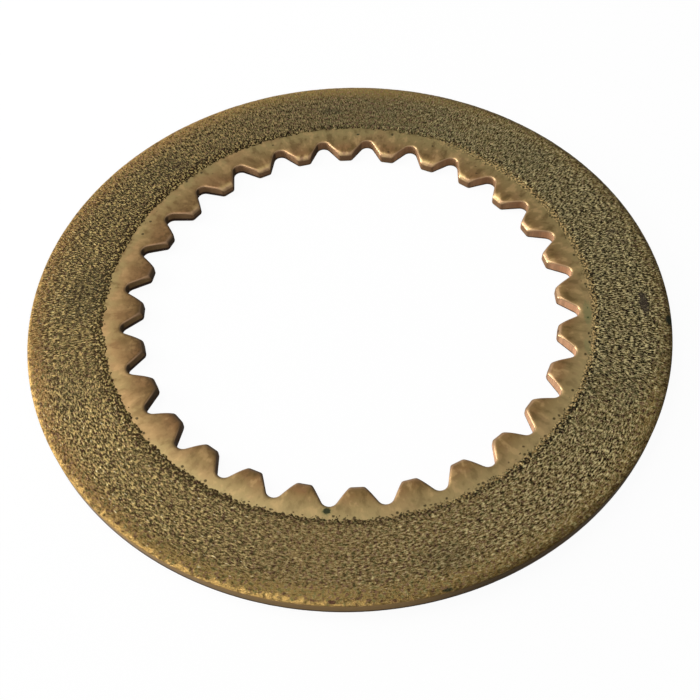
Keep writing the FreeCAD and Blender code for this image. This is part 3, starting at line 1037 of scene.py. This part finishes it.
# %% Colours of the bronze
GREEN_BRONZE = (121, 108, 69)
BROWN_BRONZE = (124, 106, 64)
SHADED_BRONZE = (84, 67, 38)
LIT_BRONZE = (156, 131, 82)
FRONT_SHEEN_BRONZE = (156, 126, 78)
OUTER_BRONZE = (138, 113, 60)
LEFT_OUTER_BRONZE = (158, 121, 68)
HOLE_BROWN_AND_SHADE = (72, 55, 26)
PURPLE_TINGE = (118, 84, 66)
GREEN_TINGE = (106, 106, 62)
RIGHT_GRAIN = (208, 192, 140)
LEFT_GRAIN = (208, 178, 108)
RIGHT_PORE = (12, 11, 4)
LEFT_PORE = (38, 26, 8)
SCRATCH = (216, 192, 126)
PAINTED_GLINT = (238, 220, 176)
EDGE_GOLD = (200, 166, 104)
WORN_GOLD = (192, 154, 82)
LIT_GOLD = (222, 180, 106)
RIGHT_RIM_SHADE = (70, 53, 22)
RING_RIM = (170, 138, 90)
NEAR_GRAIN = 0.31 * MM
FAR_GRAIN = 0.24 * MM
SCRATCH_SIZE = 0.24 * MM
LUMP_SIZE = 0.45 * MM
EDGE_GOLD_SIZE = 0.5 * MM
TINGE_SIZE = 0.7 * MM
CLUSTER_SIZE = 1.0 * MM
WANDER_SIZE = 1.2 * MM
BLOTCH_SIZE = 5 * MM
GRAIN_STRETCH = 2.9
SCRATCH_STRETCH = 4.5
NEAR_STRETCH_SHARE = 0.78
SPECKLE_GAIN = 9.5
print("a pore in light:", [round(x, 4) for x in linear(*RIGHT_PORE)])

# %% Places on a ring


def ring_places(place, hole_centre):
    """Shares that the bronze goes by, and the distances from the axis and the hole's edge."""
    axes = split(place)
    x, y = axes["X"], axes["Y"]
    radius = reach(place)
    from_hole = less(reach(place, hole_centre), RING_HOLE_RADIUS)
    far_right = ramp(scaled(x, 0.5, y), 22, 45)
    # the dark band along the hole is wider on the left, where it is painted shade
    dark_width = ramp(x, -5, -40, 1.7 * MM, 2.8 * MM)
    at_hole = times(ramp(less(from_hole, dark_width), 0, -1.5), fade(far_right, 0, 1, 1.0, 0.3))
    return {"x": x, "y": y, "z": axes["Z"], "radius": radius, "from hole": from_hole,
            "far right": far_right, "at hole": at_hole,
            "outer": fade(radius, RIM_RADIUS - 5.5 * MM, RIM_RADIUS - 1.0 * MM),
            "behind front": ramp(y, -32, -10),
            "left": ramp(x, 10, -40),
            # share of painted shade on the left and the upper left
            "dim": ramp(scaled(y, -0.6, x), 0, -50),
            "lit": ramp(plus(x, times(y, 1.6)), 0, -95)}


def speckle_strength(at):
    """How strong the speckle is: most at the sides and beside the hole, least at the rim."""
    x, y = at["x"], at["y"]
    sideways = times(reckon("ABSOLUTE", x), 1.0 / RIM_RADIUS)
    leaning = scaled(y, -0.05 / RIM_RADIUS, scaled(x, -0.12 / RIM_RADIUS, 0.58))
    inner = ramp(at["from hole"], 2.4, 1.0, 1.0, ramp(x, -5, -40, 1.5, 2.4))
    surplus = less(inner, 1)
    inner = less(inner, times(ramp(y, -20, -42), surplus, 0.9))
    far_edge = times(at["far right"], ramp(at["from hole"], 2.4, 1.0))
    near_corner = times(ramp(reckon("ABSOLUTE", x), 5, 25), ramp(y, 0, -30))
    inner = times(inner, fade(far_edge, 0, 1, 1.0, 0.75),
                  fade(near_corner, 0, 1, 1.0, ramp(x, -30, 30, 0.97, 0.78)))
    at_rim = fade(at["outer"], 0, 1, 1.0, ramp(x, -10, 30, 0.46, 0.6))
    return times(plus(sideways, leaning), at_rim, inner)


print("grain", NEAR_GRAIN / MM, "mm at the front,", FAR_GRAIN / MM, "mm elsewhere")

# %% Speckle of the bronze


def laid(place, at, size, stretch, detail, rough):
    """Fine noise drawn out round the ring at the front and outwards elsewhere, 0 in the middle."""
    near = cloud(strokes_round(place, NEAR_STRETCH_SHARE * stretch),
                 size * NEAR_GRAIN / FAR_GRAIN, detail, rough)
    far = cloud(strokes_outwards(place, stretch), size, detail, rough)
    value = scaled(at["behind front"], less(far, near), near)
    return less(value, 0.5)


def grains_and_pores(place, at, strength):
    """Speckle as fine noise with clusters and lumps in it, and its tone: pores lie below 0."""
    cluster = less(cloud(place, CLUSTER_SIZE, 1.0), 0.5)
    lumps = less(cloud(place, LUMP_SIZE, 1.0), 0.5)
    fine = laid(place, at, FAR_GRAIN, GRAIN_STRETCH, 3.0, 0.8)
    speckle = plus(scaled(cluster, 0.2, fine), times(lumps, at["at hole"], 0.9))
    darker = plus(ramp(at["x"], -5, -40, -0.4, -0.8), ramp(at["x"], 15, 42, 0.0, -0.3))
    tone = scaled(at["at hole"], darker, times(speckle, strength, SPECKLE_GAIN))
    return speckle, tone


def ground(place, at):
    """Middle tone of the bronze under its grains and pores, with painted shade on the left and, in
    part, along the hole, and a painted sheen at the near left and the front.
    """
    x, y = at["x"], at["y"]
    blotch = cloud(place, BLOTCH_SIZE)
    tinge = cloud(place, TINGE_SIZE, 1.0)
    outer = blend_in(ramp(x, -20, -50), linear(*OUTER_BRONZE), linear(*LEFT_OUTER_BRONZE))
    return layered(linear(*GREEN_BRONZE), [
        (fade(blotch, 0.4, 0.6), BROWN_BRONZE),
        # painted shade on the left and the upper left
        (times(at["dim"], 0.65), SHADED_BRONZE),
        # painted sheen at the near left, where the key lamp is mirrored
        (times(at["lit"], 0.57), LIT_BRONZE),
        # painted sheen at the front
        (times(ramp(y, -15, -40), ramp(x, -35, 0), 0.45), FRONT_SHEEN_BRONZE),
        (times(at["outer"], ramp(x, 50, -50, 0.6, 0.95)), outer),
        # darker along the hole: denser pores, and on the left partly painted shade
        (times(at["at hole"], ramp(y, -20, -42, 0.85, 0.5)), HOLE_BROWN_AND_SHADE),
        (fade(tinge, 0.55, 0.7, high=0.75), PURPLE_TINGE),
        (fade(tinge, 0.45, 0.3, high=0.6), GREEN_TINGE)])


print("speckle, clusters and lumps ready")

# %% Finish of the bronze


def speckled_layers(place, at, strength, grains, pores):
    """Layers of a ring's face: grains, scratches, pores, painted glints, and gold at the hole's edge.
    """
    x = at["x"]
    lines = laid(place, at, SCRATCH_SIZE, SCRATCH_STRETCH, 1.0, 0.5)
    scratches = fade(times(strength, lines), 0.1, 0.2)
    grain_share = times(grains, fade(ramp(x, -10, 45), 0, 1, 0.5, 0.9),
                        fade(at["at hole"], 0, 1, 1, 0.55))
    # painted glints: bright specks of highlight, only at the near left where the lamp is mirrored
    painted_glints = times(fade(lines, 0.26, 0.31), at["lit"], ramp(x, 10, -25, 0.0, 0.9))
    gold = times(ramp(at["from hole"], 0.9, 0.2),
                 fade(cloud(place, EDGE_GOLD_SIZE), 0.52, 0.6), ramp(x, -5, 25), 0.4)
    return [(grain_share, blend_in(at["left"], linear(*RIGHT_GRAIN), linear(*LEFT_GRAIN))),
            (times(scratches, 0.5), SCRATCH),
            (times(pores, fade(at["lit"], 0, 1, 0.97, 0.8)),
             blend_in(at["left"], linear(*RIGHT_PORE), linear(*LEFT_PORE))),
            (painted_glints, PAINTED_GLINT),
            (gold, EDGE_GOLD)]


def worn_share(wander, speckle):
    """Share of the bevel that is worn smooth, less in the pores."""
    return times(fade(wander, RIM_RADIUS - 1.0 * MM, RIM_RADIUS - 0.1 * MM),
                 fade(speckle, -0.12, 0.02, 0.55, 1.0))


def rim_layers(at, wander, worn):
    """Layers of a ring's rim: its worn bevel, golden with a painted highlight at the near left, painted
    shade on the right, and its upright wall, shaded on the right.
    """
    x = at["x"]
    # painted shade, nearly black-brown, over the rim on the right, away from the lamps
    right_rim_shade = times(fade(wander, RIM_RADIUS - 1.6 * MM, RIM_RADIUS - 0.3 * MM), ramp(x, -5, 40, 0.0, 0.65))
    wall = fade(at["radius"], RIM_RADIUS - 0.1 * MM, RIM_RADIUS - 0.02 * MM)
    below_bevel = fade(reckon("ABSOLUTE", at["z"]), RING_TOP - 0.1 * MM, plate_top)
    # worn golden bevel: real wear, shown only at the near left and brightened there as a painted
    # highlight
    return [(times(worn, ramp(x, 40, -20, 0.0, 0.9), ramp(at["y"], 10, -22, 0.4, 1.0)),
             blend_in(at["lit"], linear(*WORN_GOLD), linear(*LIT_GOLD))),
            (right_rim_shade, RIGHT_RIM_SHADE),
            # the rim's wall gets painted shade on the right
            (times(below_bevel, wall),
             blend_in(ramp(x, 8, 30, high=0.8), linear(*RING_RIM), linear(*SHADED_RIM)))]


def sintered_bronze(name, hole_centre, pattern):
    """Porous ground bronze, darker at its hole, calmer towards the rim, golden where worn, with painted
    shade, sheen and glints.
    """
    finish, tree, shader, place = start_finish(name)
    at = ring_places(place, hole_centre)
    moved = vector("ADD", place, (pattern * MM, 0, 0))
    strength = speckle_strength(at)
    speckle, tone = grains_and_pores(moved, at, strength)
    pores = fade(tone, 0.0, -1.1)
    grains = fade(tone, 0.0, 1.1)
    unsteady = less(cloud(moved, WANDER_SIZE), 0.5)
    wander = scaled(unsteady, 3.0 * MM, at["radius"])
    worn = worn_share(wander, speckle)
    colour = layered(ground(moved, at),
                     speckled_layers(moved, at, strength, grains, pores)
                     + rim_layers(at, wander, worn))
    put(shader.inputs["Base Color"], marked(place, colour, RING_MARKS))
    shiny = reckon("MAXIMUM", times(worn, 0.7), fade(pores, 0, 1, 0.35, 0.0))
    put(shader.inputs["Metallic"], shiny)
    put(shader.inputs["Roughness"], fade(pores, 0, 1, 0.42, 0.9))
    put(shader.inputs["Specular IOR Level"], 0.1)
    height = less(times(grains, 0.8), pores)
    bump = add(tree, "ShaderNodeBump", {"Height": height, "Strength": 1.0, "Distance": 0.14 * MM})
    put(shader.inputs["Normal"], bump.outputs[0])
    return finish


print("finish of the bronze ready")

# %% Grow both rings
inner_corners = [vertex.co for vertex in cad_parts["upper_facing"].data.vertices
                 if hypot(vertex.co.x, vertex.co.y) < 0.85 * RIM_RADIUS]
HOLE_SHIFT = tuple((min(co[axis] for co in inner_corners) + max(co[axis] for co in inner_corners)) / 2
                   for axis in (0, 1))
print("the upper ring's hole lies", [round(step / MM, 2) for step in HOLE_SHIFT], "mm off the axis")
# name: the node it stands for, its side, the shift of its hole, its pattern
RINGS = {"bronze_ring_upper": ("upper_facing", 1.0, HOLE_SHIFT, 1.0),
         "bronze_ring_lower": ("lower_facing", -1.0, (0.0, 0.0), 2.0)}
ring_tree = bronze_ring_tree()
for name, (node, side, shift, pattern) in RINGS.items():
    ring = grow(name, ring_tree, {
        "Hole Radius": RING_HOLE_RADIUS, "Hole Shift X": shift[0], "Hole Shift Y": shift[1],
        "Rim Radius": RIM_RADIUS, "Seat Height": plate_top, "Thickness": RING_THICKNESS,
        "Side": side, "Ragged Depth": 0.9 * MM, "Slope Width": 1.0 * MM, "Worn Width": 1.0 * MM,
        "Worn Drop": 0.22 * MM, "Relief": 0.05 * MM, "Grain Size": 0.9 * MM,
        "Stray Reach": 1.1 * MM, "Stray Density": 5.0e6, "Stray Size": 0.14 * MM,
        "Pattern": pattern, "Seed": int(pattern), "Columns": 1401, "Rows": 56,
        "Finish": sintered_bronze(f"sintered_{name}", shift, pattern)})
    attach(ring, "root")
    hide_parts(node)
